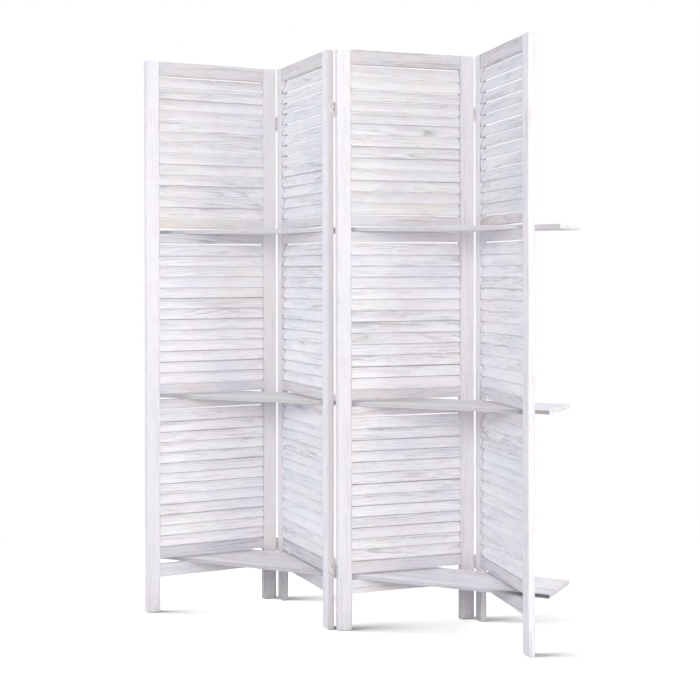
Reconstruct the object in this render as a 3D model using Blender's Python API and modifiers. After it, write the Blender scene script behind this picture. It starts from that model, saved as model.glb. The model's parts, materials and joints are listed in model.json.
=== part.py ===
"""Folding screen of four louvred wooden panels, with three shelf boards threaded through them.

Lengths are metres and +Z is up. The boards run along X and the front of the screen looks along -Y.
The origin is on the floor, under the middle of the screen's box. Panels 1 to 4 stand from left to
right. Panels 1 and 2 meet at the back, panels 2 and 3 at the front, and panels 3 and 4 at the back.

A panel's own frame has X from its left end to its right end, Y from its front face to its back
face, and Z up from the floor.
"""

import math

import bmesh
import bpy
from mathutils import Matrix, Vector

# Panel sizes
PANEL_WIDTH = 0.437
PANEL_THICKNESS = 0.019
STILE_WIDTH = 0.0435
FOOT_HEIGHT = 0.1065
EDGE_EASE = 0.0010

# Angle between each panel and the shelf boards as the screen stands, from panel 1 to panel 4
PANEL_TURNS = [math.radians(52.8), math.radians(42.3), math.radians(45.1), math.radians(51.0)]

# Rails, each with a stub tenon at both ends
TOP_RAIL_HEIGHT = 0.042
SLOT_RAIL_HEIGHT = 0.029
LOW_SLOT_RAIL_HEIGHT = 0.033
BOTTOM_RAIL_HEIGHT = 0.040
RAIL_SETBACK = 0.0010
TENON_LENGTH = 0.015
TENON_THICKNESS = 0.006
TENON_SHOULDER = 0.005

# Clear height of each louvred section between its rails
LOW_LOUVRES_HEIGHT = 0.4285
MIDDLE_LOUVRES_HEIGHT = 0.4370
TOP_LOUVRES_HEIGHT = 0.4430

# Louvre slats, housed in the stiles at a slant: the lower edge is in front
SLATS_PER_SECTION = 13
SLAT_THICKNESS = 0.0050
SLAT_TILT = math.radians(18.0)
SLAT_SETBACK = 0.0015
SLAT_EASE = 0.0015
SLAT_TOP_GAP = 0.0040
SLAT_BOTTOM_GAP = 0.0025
HOUSING_DEPTH = 0.008

# Shelf boards and the slots that they pass through
SHELF_THICKNESS = 0.0123
SHELF_HEADROOM = 0.0054
SHELF_SIDE_PLAY = 0.0020
SHELF_LEFT_OVERHANG = 0.036
SHELF_RIGHT_OVERHANG = 0.021
TOP_SHELF_SHIFT = 0.031

# Butt hinges, two at each fold
HINGE_GAP = 0.0052
PIN_PROUD = 0.0015
LEAF_HEIGHT = 0.043
LEAF_THICKNESS = 0.0009
LEAF_MARGIN = 0.0030
KNUCKLES = 3
PIN_HEAD_HEIGHT = 0.0008
SCREW_HOLE_RADIUS = 0.0016
LOWER_HINGE_HEIGHT = 0.172
UPPER_HINGE_DROP = 0.175

# Gap left between pieces that touch, and how far a cutter runs past what it cuts
FIT_GAP = 0.0003
OVERRUN = 0.002

# Facets on round pieces
PIN_SIDES = 12
KNUCKLE_SIDES = 12
HOLE_SIDES = 8
SHARP_ANGLE = math.radians(40)

# Heights worked out from the sizes above, from the floor up: a ledge is what a board lies on
SLOT_HEIGHT = FIT_GAP + SHELF_THICKNESS + SHELF_HEADROOM
LOW_LEDGE_HEIGHT = FOOT_HEIGHT + BOTTOM_RAIL_HEIGHT
LOW_LOUVRES_START = LOW_LEDGE_HEIGHT + SLOT_HEIGHT + LOW_SLOT_RAIL_HEIGHT
MIDDLE_LEDGE_HEIGHT = LOW_LOUVRES_START + LOW_LOUVRES_HEIGHT + SLOT_RAIL_HEIGHT
MIDDLE_LOUVRES_START = MIDDLE_LEDGE_HEIGHT + SLOT_HEIGHT + SLOT_RAIL_HEIGHT
TOP_LEDGE_HEIGHT = MIDDLE_LOUVRES_START + MIDDLE_LOUVRES_HEIGHT + SLOT_RAIL_HEIGHT
TOP_LOUVRES_START = TOP_LEDGE_HEIGHT + SLOT_HEIGHT + SLOT_RAIL_HEIGHT
TOP_RAIL_START = TOP_LOUVRES_START + TOP_LOUVRES_HEIGHT
PANEL_HEIGHT = TOP_RAIL_START + TOP_RAIL_HEIGHT
UPPER_HINGE_HEIGHT = PANEL_HEIGHT - UPPER_HINGE_DROP

# Other sizes worked out from those above
OPENING_WIDTH = PANEL_WIDTH - 2 * STILE_WIDTH
SLAT_DEPTH = PANEL_THICKNESS - 2 * SLAT_SETBACK
SLAT_WIDTH = (SLAT_DEPTH - SLAT_THICKNESS * math.cos(SLAT_TILT)) / math.sin(SLAT_TILT)
SLAT_RISE = SLAT_WIDTH * math.cos(SLAT_TILT) + SLAT_THICKNESS * math.sin(SLAT_TILT)
KNUCKLE_RADIUS = HINGE_GAP / 2 - FIT_GAP
BORE_RADIUS = KNUCKLE_RADIUS - LEAF_THICKNESS
PIN_RADIUS = BORE_RADIUS - FIT_GAP
PIN_HEAD_RADIUS = KNUCKLE_RADIUS - FIT_GAP
LEAF_REACH = PIN_PROUD + PANEL_THICKNESS - LEAF_MARGIN

# The rails of one panel: name, lower edge, upper edge
RAILS = [
    ("top_rail", TOP_RAIL_START, PANEL_HEIGHT),
    ("rail_over_top_shelf", TOP_LOUVRES_START - SLOT_RAIL_HEIGHT, TOP_LOUVRES_START),
    ("rail_under_top_shelf", TOP_LEDGE_HEIGHT - SLOT_RAIL_HEIGHT, TOP_LEDGE_HEIGHT),
    ("rail_over_middle_shelf", MIDDLE_LOUVRES_START - SLOT_RAIL_HEIGHT, MIDDLE_LOUVRES_START),
    ("rail_under_middle_shelf", MIDDLE_LEDGE_HEIGHT - SLOT_RAIL_HEIGHT, MIDDLE_LEDGE_HEIGHT),
    ("rail_over_bottom_shelf", LOW_LOUVRES_START - LOW_SLOT_RAIL_HEIGHT, LOW_LOUVRES_START),
    ("bottom_rail", FOOT_HEIGHT, LOW_LEDGE_HEIGHT),
]

# The louvred sections of one panel: lower end, clear height
SECTIONS = [
    (LOW_LOUVRES_START, LOW_LOUVRES_HEIGHT),
    (MIDDLE_LOUVRES_START, MIDDLE_LOUVRES_HEIGHT),
    (TOP_LOUVRES_START, TOP_LOUVRES_HEIGHT),
]

# The hinge pin's place in the frame of the panel on either side of it
LEFT_FRONT_PIN = (-HINGE_GAP / 2, -PIN_PROUD)
LEFT_BACK_PIN = (-HINGE_GAP / 2, PANEL_THICKNESS + PIN_PROUD)
RIGHT_FRONT_PIN = (PANEL_WIDTH + HINGE_GAP / 2, -PIN_PROUD)
RIGHT_BACK_PIN = (PANEL_WIDTH + HINGE_GAP / 2, PANEL_THICKNESS + PIN_PROUD)


def clear_scene():
    for obj in list(bpy.data.objects):
        bpy.data.objects.remove(obj, do_unlink=True)


def new_collection(name):
    collection = bpy.data.collections.new(name)
    bpy.context.scene.collection.children.link(collection)
    return collection


def new_material(name, colour, roughness, metallic):
    material = bpy.data.materials.new(name)
    material.use_nodes = True
    shader = material.node_tree.nodes["Principled BSDF"]
    shader.inputs["Base Color"].default_value = (*colour, 1.0)
    shader.inputs["Roughness"].default_value = roughness
    shader.inputs["Metallic"].default_value = metallic
    material.diffuse_color = (*colour, 1.0)
    return material


def add_box(bm, low, high):
    """Adds a box between two corners to the bmesh."""
    low, high = Vector(low), Vector(high)
    made = bmesh.ops.create_cube(bm, size=1.0)["verts"]
    bmesh.ops.scale(bm, vec=high - low, verts=made)
    bmesh.ops.translate(bm, vec=(low + high) / 2, verts=made)
    return made


def mesh_of(bm, name):
    mesh = bpy.data.meshes.new(name)
    bm.to_mesh(mesh)
    bm.free()
    return mesh


def box_mesh(name, low, high):
    bm = bmesh.new()
    add_box(bm, low, high)
    return mesh_of(bm, name)


def add_object(name, mesh, collection, material=None):
    obj = bpy.data.objects.new(name, mesh)
    collection.objects.link(obj)
    if material and not mesh.materials:
        mesh.materials.append(material)
    return obj


def add_cutter(name, mesh):
    cutter = add_object(name, mesh, CUTTERS)
    cutter.hide_render = True
    cutter.display_type = "WIRE"
    return cutter


def applied(name, mesh, steps):
    """The mesh after a row of modifiers, each given as its type and a table of its settings."""
    worker = add_object(name, mesh, SCREEN)
    for kind, settings in steps:
        modifier = worker.modifiers.new(kind.title(), kind)
        for setting, value in settings.items():
            setattr(modifier, setting, value)
    graph = bpy.context.evaluated_depsgraph_get()
    result = bpy.data.meshes.new_from_object(worker.evaluated_get(graph))
    result.name = name
    bpy.data.objects.remove(worker, do_unlink=True)
    return result


def ease_edges():
    return ("BEVEL", {"width": EDGE_EASE, "segments": 1, "limit_method": "ANGLE"})


def shade_round(mesh):
    """Smooth shading across the facets of a round, with the true edges left sharp."""
    mesh.shade_smooth()
    mesh.set_sharp_from_angle(angle=SHARP_ANGLE)
    return mesh


def cut_with(cutter):
    return ("BOOLEAN", {"operation": "DIFFERENCE", "solver": "EXACT", "object": cutter})


def join_with(other):
    return ("BOOLEAN", {"operation": "UNION", "solver": "EXACT", "object": other})


def slat_profile(grow):
    """Section of one slat across its length, as (Y, Z) points about its middle.

    The slat leans by SLAT_TILT with its lower edge to the front. The two edges that show, in front
    below and behind above, are eased. A positive grow makes the plain section of the groove.
    """
    half_thickness = SLAT_THICKNESS / 2 + grow
    half_width = SLAT_WIDTH / 2 + grow
    ease = 0 if grow else SLAT_EASE
    flat = [(-half_thickness, half_width), (half_thickness, half_width)]
    if ease:
        flat = [(-half_thickness, half_width), (half_thickness - ease, half_width),
                (half_thickness, half_width - ease)]
    flat += [(-across, -along) for across, along in flat]
    turn = math.sin(SLAT_TILT), math.cos(SLAT_TILT)
    return [(across * turn[1] + along * turn[0], along * turn[1] - across * turn[0])
            for across, along in flat]


def add_prism(bm, profile, start, end, height):
    """Sweeps a (Y, Z) profile along X from start to end, about the panel's middle plane."""
    middle = PANEL_THICKNESS / 2
    ring = [bm.verts.new((start, middle + y, height + z)) for y, z in profile]
    cap = bm.faces.new(ring)
    swept = bmesh.ops.extrude_face_region(bm, geom=[cap])["geom"]
    moved = [item for item in swept if isinstance(item, bmesh.types.BMVert)]
    bmesh.ops.translate(bm, vec=(end - start, 0, 0), verts=moved)


def slat_heights():
    """Height of every slat's middle: each section's slats are spread evenly between its gaps."""
    heights = []
    for start, clear_height in SECTIONS:
        lowest = start + SLAT_BOTTOM_GAP + SLAT_RISE / 2
        highest = start + clear_height - SLAT_TOP_GAP - SLAT_RISE / 2
        pitch = (highest - lowest) / (SLATS_PER_SECTION - 1)
        heights += [lowest + index * pitch for index in range(SLATS_PER_SECTION)]
    return heights


def slat_row_mesh(name, grow, start, end):
    bm = bmesh.new()
    for height in slat_heights():
        add_prism(bm, slat_profile(grow), start, end, height)
    bmesh.ops.recalc_face_normals(bm, faces=bm.faces)
    return mesh_of(bm, name)


def tenon_box(low, high, start, end, grow):
    """Corners of a stub tenon, or of its mortise where grow is the fit gap."""
    middle = PANEL_THICKNESS / 2
    half = TENON_THICKNESS / 2 + grow
    return ((start, middle - half, low + TENON_SHOULDER - grow),
            (end, middle + half, high - TENON_SHOULDER + grow))


def mortise_mesh(name, start, end):
    bm = bmesh.new()
    for _, low, high in RAILS:
        add_box(bm, *tenon_box(low, high, start, end, FIT_GAP))
    return mesh_of(bm, name)


def louvre_stile_mesh():
    """The left stile with all the slats that it carries, as one body, and its mortises."""
    stile = box_mesh("left_stile_blank", (0, 0, 0), (STILE_WIDTH, PANEL_THICKNESS, PANEL_HEIGHT))
    slat_end = PANEL_WIDTH - STILE_WIDTH + HOUSING_DEPTH - FIT_GAP
    slats = slat_row_mesh("slat_row", 0, STILE_WIDTH - HOUSING_DEPTH, slat_end)
    mortises = mortise_mesh("left_mortises", STILE_WIDTH - TENON_LENGTH - FIT_GAP,
                            STILE_WIDTH + OVERRUN)
    return applied("louvre_stile", stile, [
        ease_edges(),
        cut_with(add_cutter("left_mortise_cutter", mortises)),
        join_with(add_cutter("slat_row_joined", slats)),
    ])


def right_stile_mesh():
    """The right stile, with a slanted groove for each slat's end and a mortise for each rail."""
    inner = PANEL_WIDTH - STILE_WIDTH
    stile = box_mesh("right_stile_blank", (inner, 0, 0),
                     (PANEL_WIDTH, PANEL_THICKNESS, PANEL_HEIGHT))
    grooves = slat_row_mesh("groove_row", FIT_GAP, inner - OVERRUN, inner + HOUSING_DEPTH)
    mortises = mortise_mesh("right_mortises", inner - OVERRUN, inner + TENON_LENGTH + FIT_GAP)
    return applied("right_stile", stile, [
        ease_edges(),
        cut_with(add_cutter("right_mortise_cutter", mortises)),
        cut_with(add_cutter("groove_cutter", grooves)),
    ])


def rail_mesh(name, low, high):
    """One rail between the stiles, its faces set back a little, with its two tenons."""
    start = STILE_WIDTH + FIT_GAP
    end = PANEL_WIDTH - STILE_WIDTH - FIT_GAP
    body = box_mesh(name, (start, RAIL_SETBACK, low), (end, PANEL_THICKNESS - RAIL_SETBACK, high))
    reach = TENON_LENGTH + FIT_GAP
    tenon = box_mesh(name + "_tenon", *tenon_box(low, high, start - reach, end + reach, 0))
    return applied(name, body, [join_with(add_cutter(name + "_tenon_joined", tenon))])


def panel_frames():
    """Where each panel's own frame stands: its origin and its turn about Z, from panel 1 to 4.

    Panels 1 and 3 run backwards to the right and panels 2 and 4 run forwards, so the chain starts
    at the front fold between panels 2 and 3 and goes from hinge pin to hinge pin.
    """
    turns = [turn * side for turn, side in zip(PANEL_TURNS, (1, -1, 1, -1))]
    middle_pin = Vector((0, 0))
    second = origin_from_pin(middle_pin, RIGHT_BACK_PIN, turns[1])
    left_pin = plan_point((second, turns[1]), LEFT_FRONT_PIN)
    first = origin_from_pin(left_pin, RIGHT_FRONT_PIN, turns[0])
    third = origin_from_pin(middle_pin, LEFT_BACK_PIN, turns[2])
    right_pin = plan_point((third, turns[2]), RIGHT_FRONT_PIN)
    fourth = origin_from_pin(right_pin, LEFT_FRONT_PIN, turns[3])
    return list(zip((first, second, third, fourth), turns))


def turned(point, angle):
    x, y = point
    return Vector((x * math.cos(angle) - y * math.sin(angle),
                   x * math.sin(angle) + y * math.cos(angle)))


def plan_point(frame, point):
    """A point of a panel's own frame, in plan."""
    origin, turn = frame
    return origin + turned(point, turn)


def origin_from_pin(pin, own_point, turn):
    return pin - turned(own_point, turn)


def shelf_plan(frames):
    """The boards' middle line in Y, their depth, and the X of their left and right ends.

    The middle line is the mean of the four slots' middles. The depth is the widest board that
    passes every slot at its panel's turn with the side play left on both sides.
    """
    slot_middle = (PANEL_WIDTH / 2, PANEL_THICKNESS / 2)
    middles = [plan_point(frame, slot_middle).y for frame in frames]
    middle_line = sum(middles) / len(middles)
    depths = []
    for middle, turn in zip(middles, PANEL_TURNS):
        clear = (OPENING_WIDTH - PANEL_THICKNESS / math.tan(turn)) * math.sin(turn)
        depths.append(clear - 2 * abs(middle - middle_line) - 2 * SHELF_SIDE_PLAY)
    left = plan_point(frames[0], (0, PANEL_THICKNESS)).x - SHELF_LEFT_OVERHANG
    right = plan_point(frames[3], (PANEL_WIDTH, PANEL_THICKNESS)).x + SHELF_RIGHT_OVERHANG
    return middle_line, min(depths), left, right


def centre_of_plan(frames, shelf):
    """The middle of the whole screen's box, in plan."""
    middle_line, depth, left, right = shelf
    ends = (0, PANEL_WIDTH)
    faces = (0, PANEL_THICKNESS)
    corners = [plan_point(frame, (x, y)) for frame in frames for x in ends for y in faces]
    xs = [corner.x for corner in corners] + [left, right + TOP_SHELF_SHIFT]
    ys = [corner.y for corner in corners] + [middle_line - depth / 2, middle_line + depth / 2]
    return Vector(((min(xs) + max(xs)) / 2, (min(ys) + max(ys)) / 2))


def shelf_mesh(name, depth, left, right):
    blank = box_mesh(name, (left, -depth / 2, 0), (right, depth / 2, SHELF_THICKNESS))
    return applied(name, blank, [ease_edges()])


def arc(radius, start, end, sides):
    """Points on a circle about the origin, from one angle to another, both ends included."""
    return [(radius * math.cos(start + (end - start) * step / sides),
             radius * math.sin(start + (end - start) * step / sides)) for step in range(sides + 1)]


def extruded_outline(name, outlines, height):
    """A flat shape bounded by closed outlines, the first one outside, extruded about Z = 0."""
    curve = bpy.data.curves.new(name, "CURVE")
    curve.dimensions = "2D"
    curve.fill_mode = "BOTH"
    curve.extrude = height / 2
    for outline in outlines:
        spline = curve.splines.new("POLY")
        spline.points.add(len(outline) - 1)
        for point, (x, y) in zip(spline.points, outline):
            point.co = (x, y, 0, 1)
        spline.use_cyclic_u = True
    worker = add_object(name, curve, SCREEN)
    graph = bpy.context.evaluated_depsgraph_get()
    mesh = bpy.data.meshes.new_from_object(worker.evaluated_get(graph))
    bpy.data.objects.remove(worker, do_unlink=True)
    bm = bmesh.new()
    bm.from_mesh(mesh)
    bpy.data.meshes.remove(mesh)
    bmesh.ops.remove_doubles(bm, verts=bm.verts, dist=FIT_GAP / 10)
    bmesh.ops.recalc_face_normals(bm, faces=bm.faces)
    return mesh_of(bm, name)


def leaf_outline():
    """Plan of a leaf rolled round the pin, which is at the origin; the plate runs along +Y.

    The plate's outer side, at X = KNUCKLE_RADIUS, faces the stile and is tangent to the roll.
    """
    inner = KNUCKLE_RADIUS - LEAF_THICKNESS
    meets = math.acos(inner / KNUCKLE_RADIUS)
    roll = arc(KNUCKLE_RADIUS, meets, 2 * math.pi, KNUCKLE_SIDES)
    return [(KNUCKLE_RADIUS, LEAF_REACH), (inner, LEAF_REACH)] + roll


def leaf_mesh(name, first_knuckle):
    """A hinge leaf that has every second knuckle, starting with the given one."""
    bore = arc(BORE_RADIUS, 0, 2 * math.pi, KNUCKLE_SIDES)[:-1]
    blank = extruded_outline(name, [leaf_outline(), bore], LEAF_HEIGHT)
    knuckle_height = LEAF_HEIGHT / KNUCKLES
    beside = KNUCKLE_RADIUS + OVERRUN
    notches = bmesh.new()
    for index in range(1 - first_knuckle, KNUCKLES, 2):
        low = -LEAF_HEIGHT / 2 + index * knuckle_height - FIT_GAP / 2
        high = low + knuckle_height + FIT_GAP
        if index == 0:
            low -= OVERRUN
        if index == KNUCKLES - 1:
            high += OVERRUN
        add_box(notches, (-beside, -beside, low), (beside, KNUCKLE_RADIUS + FIT_GAP, high))
    holes = bmesh.new()
    plate_middle = (KNUCKLE_RADIUS + LEAF_REACH) / 2
    for level in (-LEAF_HEIGHT / 4, LEAF_HEIGHT / 4):
        made = bmesh.ops.create_cone(
            holes, cap_ends=True, segments=HOLE_SIDES, radius1=SCREW_HOLE_RADIUS,
            radius2=SCREW_HOLE_RADIUS, depth=beside)["verts"]
        bmesh.ops.rotate(holes, matrix=ACROSS_PLATE, verts=made)
        bmesh.ops.translate(holes, vec=(KNUCKLE_RADIUS, plate_middle, level), verts=made)
    return shade_round(applied(name, blank, [
        cut_with(add_cutter(name + "_notch_cutter", mesh_of(notches, name + "_notches"))),
        cut_with(add_cutter(name + "_hole_cutter", mesh_of(holes, name + "_holes"))),
    ]))


def pin_mesh():
    """The hinge pin, turned about Z, with a head above and a riveted end below."""
    top = LEAF_HEIGHT / 2 + FIT_GAP
    head = top + PIN_HEAD_HEIGHT
    profile = [(0, head), (PIN_HEAD_RADIUS / 2, head),
               (PIN_HEAD_RADIUS, top + PIN_HEAD_HEIGHT / 2),
               (PIN_HEAD_RADIUS, top), (PIN_RADIUS, top)]
    profile += [(x, -z) for x, z in reversed(profile)]
    bm = bmesh.new()
    points = [bm.verts.new((x, 0, z)) for x, z in profile]
    for start, end in zip(points, points[1:]):
        bm.edges.new((start, end))
    return shade_round(applied("hinge_pin", mesh_of(bm, "pin_profile"), [
        ("SCREW", {"steps": PIN_SIDES, "render_steps": PIN_SIDES, "use_merge_vertices": True,
                   "merge_threshold": FIT_GAP / 10}),
    ]))


def empty_at(name, plan, turn):
    empty = bpy.data.objects.new(name, None)
    empty.location = (plan.x, plan.y, 0)
    empty.rotation_euler = (0, 0, turn)
    SCREEN.objects.link(empty)
    return empty


def hang(name, mesh, material, parent, location, rotation=(0, 0, 0)):
    """Puts a piece in the frame of its parent empty."""
    obj = add_object(name, mesh, SCREEN, material)
    obj.parent = parent
    obj.location = location
    obj.rotation_euler = rotation
    return obj


def under_panel(panel, place, height):
    """A place of a panel's own frame, as a location under the panel's empty."""
    _, home = panel
    return (place[0] - home[0], place[1] - home[1], height)


def add_panel(number, panel, pieces):
    """One panel's frame and louvres, hung on the empty that stands at its hinge pin."""
    for name, (mesh, material) in pieces.items():
        hang(f"panel_{number}_{name}", mesh, material, panel[0], under_panel(panel, (0, 0), 0))


def add_fold(name, left, right, behind, carrier):
    """Two butt hinges between neighbouring panels, each with a leaf on either end face and a pin.

    The pin stands in front of the panels, or behind them where behind is true. Every leaf is
    drawn alike and turned over to suit, so that its plate runs from the pin along the end face.
    The pin goes with the carrier, "left" or "right".
    """
    if behind:
        places = {"left": RIGHT_BACK_PIN, "right": LEFT_BACK_PIN}
        turns = {"left": (0, 0, math.pi), "right": (math.pi, 0, 0)}
    else:
        places = {"left": RIGHT_FRONT_PIN, "right": LEFT_FRONT_PIN}
        turns = {"left": (0, math.pi, 0), "right": (0, 0, 0)}
    panels = {"left": left, "right": right}
    for level, height in (("lower", LOWER_HINGE_HEIGHT), ("upper", UPPER_HINGE_HEIGHT)):
        hinge = f"{name}_{level}_hinge"
        for side, panel in panels.items():
            hang(f"{hinge}_{side}_leaf", LEAVES[side], HINGE_STEEL, panel[0],
                 under_panel(panel, places[side], height), turns[side])
        hang(f"{hinge}_pin", PIN, PIN_STEEL, panels[carrier][0],
             under_panel(panels[carrier], places[carrier], height))


# Lays a cylinder along X, across a leaf's plate
ACROSS_PLATE = Matrix.Rotation(math.pi / 2, 3, "Y")

clear_scene()
SCREEN = new_collection("folding_screen_with_shelves")
CUTTERS = new_collection("cutters")

STILE_WOOD = new_material("whitewashed_stile", (0.84, 0.83, 0.84), 0.62, 0.0)
RAIL_WOOD = new_material("whitewashed_rail", (0.80, 0.79, 0.80), 0.62, 0.0)
LOUVRE_WOOD = new_material("whitewashed_louvre", (0.78, 0.78, 0.80), 0.65, 0.0)
SHELF_WOOD = new_material("whitewashed_shelf", (0.76, 0.76, 0.78), 0.60, 0.0)
HINGE_STEEL = new_material("nickelled_hinge", (0.46, 0.44, 0.41), 0.38, 1.0)
PIN_STEEL = new_material("nickelled_pin", (0.52, 0.50, 0.47), 0.32, 1.0)

# Every panel is the same set of pieces, so the four panels share their meshes
PANEL_PIECES = {
    "louvre_stile": (louvre_stile_mesh(), LOUVRE_WOOD),
    "right_stile": (right_stile_mesh(), STILE_WOOD),
}
for rail, lower, upper in RAILS:
    PANEL_PIECES[rail] = (rail_mesh(rail, lower, upper), RAIL_WOOD)

frames = panel_frames()
shelf = shelf_plan(frames)
centre = centre_of_plan(frames, shelf)

# Each panel hangs on an empty at the pin that it turns on, and panel 2 on the middle pin
HOME_PINS = [RIGHT_FRONT_PIN, RIGHT_BACK_PIN, LEFT_BACK_PIN, LEFT_FRONT_PIN]
panels = []
for number, (frame, home) in enumerate(zip(frames, HOME_PINS), start=1):
    pivot = empty_at(f"panel_{number}_pivot", plan_point(frame, home) - centre, frame[1])
    panels.append((pivot, home))
    add_panel(number, panels[-1], PANEL_PIECES)

LEAVES = {"left": leaf_mesh("single_knuckle_leaf", 1), "right": leaf_mesh("double_knuckle_leaf", 0)}
PIN = pin_mesh()
add_fold("left_fold", panels[0], panels[1], False, "right")
add_fold("middle_fold", panels[1], panels[2], True, "left")
add_fold("right_fold", panels[2], panels[3], False, "left")

# The boards turn about the middle of panel 2's slots as the screen folds
middle_line, depth, left_end, right_end = shelf
slot_axis = plan_point(frames[1], (PANEL_WIDTH / 2, PANEL_THICKNESS / 2))
shelf_pivot = empty_at("shelf_pivot", slot_axis - centre, 0)
board = shelf_mesh("shelf_board", depth, left_end, right_end)
for name, ledge, shift in (
    ("bottom_shelf", LOW_LEDGE_HEIGHT, 0),
    ("middle_shelf", MIDDLE_LEDGE_HEIGHT, 0),
    ("top_shelf", TOP_LEDGE_HEIGHT, TOP_SHELF_SHIFT),
):
    place = (shift - slot_axis.x, middle_line - slot_axis.y, ledge + FIT_GAP)
    hang(name, board, SHELF_WOOD, shelf_pivot, place)
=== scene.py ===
"""Looks of a whitewashed folding screen: four louvred panels with three shelf boards put through them.

Lengths are metres and +Z is up. Every wooden piece is a board with rounded edges: a rounded section
carried along its length. Each board keeps its own coordinates in the attribute board_place, so that
the grain runs along it whichever way it stands.
"""

import json
import math
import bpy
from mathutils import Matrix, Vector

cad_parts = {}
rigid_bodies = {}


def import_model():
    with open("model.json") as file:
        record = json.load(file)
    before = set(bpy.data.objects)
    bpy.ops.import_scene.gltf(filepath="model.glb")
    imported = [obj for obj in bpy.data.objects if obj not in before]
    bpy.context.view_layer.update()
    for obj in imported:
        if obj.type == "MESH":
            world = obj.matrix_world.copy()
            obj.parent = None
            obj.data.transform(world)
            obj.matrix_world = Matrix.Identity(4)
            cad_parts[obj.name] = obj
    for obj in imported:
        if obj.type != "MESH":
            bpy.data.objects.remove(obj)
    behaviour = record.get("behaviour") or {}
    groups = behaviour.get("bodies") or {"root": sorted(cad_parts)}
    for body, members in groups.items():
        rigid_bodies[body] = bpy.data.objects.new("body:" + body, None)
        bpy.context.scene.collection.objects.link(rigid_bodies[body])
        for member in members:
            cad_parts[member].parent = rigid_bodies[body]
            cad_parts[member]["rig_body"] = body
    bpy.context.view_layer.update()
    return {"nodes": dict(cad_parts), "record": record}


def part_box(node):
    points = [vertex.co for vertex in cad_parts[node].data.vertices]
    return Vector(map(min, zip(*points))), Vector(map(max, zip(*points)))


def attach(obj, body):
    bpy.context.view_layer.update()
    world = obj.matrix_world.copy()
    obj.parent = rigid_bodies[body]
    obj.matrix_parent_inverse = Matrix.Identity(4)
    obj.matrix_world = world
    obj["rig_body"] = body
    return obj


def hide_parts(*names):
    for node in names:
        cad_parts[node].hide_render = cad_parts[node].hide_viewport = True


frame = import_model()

import zlib

import bpy
import numpy as np
from bpy.props import FloatProperty, FloatVectorProperty, IntProperty, PointerProperty, StringProperty
from mathutils import Vector

bl_info = {
    "name": "Folding Screen With Shelves",
    "version": (1, 0, 0),
    "blender": (4, 5, 0),
    "location": "View3D > Sidebar > Folding Screen",
    "description": "Builds a whitewashed louvred folding screen around its construction model",
    "category": "Object",
}

PANELS = (1, 2, 3, 4)
RAILS = ("top_rail", "rail_over_top_shelf", "rail_under_top_shelf", "rail_over_middle_shelf",
         "rail_under_middle_shelf", "rail_over_bottom_shelf", "bottom_rail")
# The louvred sections of a panel, and the rails under and over each
SECTIONS = {"lower": ("rail_over_bottom_shelf", "rail_under_middle_shelf"),
            "middle": ("rail_over_middle_shelf", "rail_under_top_shelf"),
            "upper": ("rail_over_top_shelf", "top_rail")}
# The shelf boards, and the settings that say how bare their long sides are at the left and at the right
SHELF_SIDES = {"bottom_shelf": ("bare_left", "bare_right"), "middle_shelf": ("bare_left", "bare_middle"),
               "top_shelf": ("bare_top", "bare_top")}
# Each fold: its left panel, its right panel, and the side of the screen that its pins stand on
FOLDS = {"left_fold": (1, 2, -1), "middle_fold": (2, 3, 1), "right_fold": (3, 4, -1)}
LEVELS = ("lower", "upper")

# Rings of points along a board of each kind
STATIONS = {"stile": 20, "rail": 8, "slat": 6, "shelf": 96}
# Points round a board's edge, a slat's end, a turned piece, a plate's corner, a pin's dome and a slot's end
EDGE_STEPS = 4
SLAT_END_STEPS = 2
TURN_STEPS = 32
CORNER_STEPS = 7
DOME_STEPS = 6
MOUTH_STEPS = 5
SHARP_ANGLE = math.radians(35)
# How much of its reach the rubbed look is given, so that it never meets the next edge's
WEAR_REACH_SHARE = 0.95
# Half waves of a board's bow along its length, and the shortest length that they are spread over
BOW_WAVES = (1.0, 2.3)
SHORTEST_BOW = 0.3
# How far a slot's mouth, a sheet of painted shade, stands off its stile, and how far the floor lies below
# the feet
MOUTH_RISE = 0.00008
FLOOR_DROP = 0.0003
# How far a knuckle's strip reaches, against the distance from the pin to the plate
STRIP_LAP = 1.2
# The straight share of a pin head's height, under its dome
HEAD_RIM_SHARE = 0.4

# The least and the most of a board's place in its log, along and across it, and of its lightness
LOG_PLACES = ((0, -0.05, 0.02), (40, 0.05, 0.09))
LIGHTNESS = (0.94, 0.98)
# Boards that stand out: their warmth, from 0 for blue grey to 1 for cream, and their lightness. The low
# lightness of the right stiles of panels 1 and 3 is painted shade in the valleys, and the high lightness of
# the rails under the middle board and at the bottom is painted light against the shade under the boards
TINTED_AND_PAINTED_LIGHT = {"panel_1_left_stile": (0.45, 0.985), "panel_1_right_stile": (0.92, 0.90),
          "panel_2_left_stile": (1.0, 0.97), "panel_2_right_stile": (0.30, 1.02),
          "panel_3_left_stile": (0.62, 0.97), "panel_3_right_stile": (0.85, 0.92),
          "panel_4_left_stile": (0.55, 0.96), "panel_4_right_stile": (0.35, 1.00),
          "panel_1_rail_over_top_shelf": (1.0, 0.96), "panel_3_rail_under_middle_shelf": (0.5, 1.09),
          "panel_1_bottom_rail": (0.60, 1.09), "panel_3_bottom_rail": (0.50, 1.13)}
# Painted shade under the bottom board: how much darker these stiles in the two rear valleys get towards the
# floor, and the heights between which they do
FOOT_PAINTED_SHADE = {"panel_1_right_stile": 0.84, "panel_2_left_stile": 0.84,
              "panel_3_right_stile": 0.83, "panel_4_left_stile": 0.81}
FOOT_PAINTED_SHADE_HEIGHTS = (0.09, 0.18)
# How bare the narrow sides of these stiles are
BARE_SIDES = {"panel_2_right_stile": 0.45}
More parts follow.
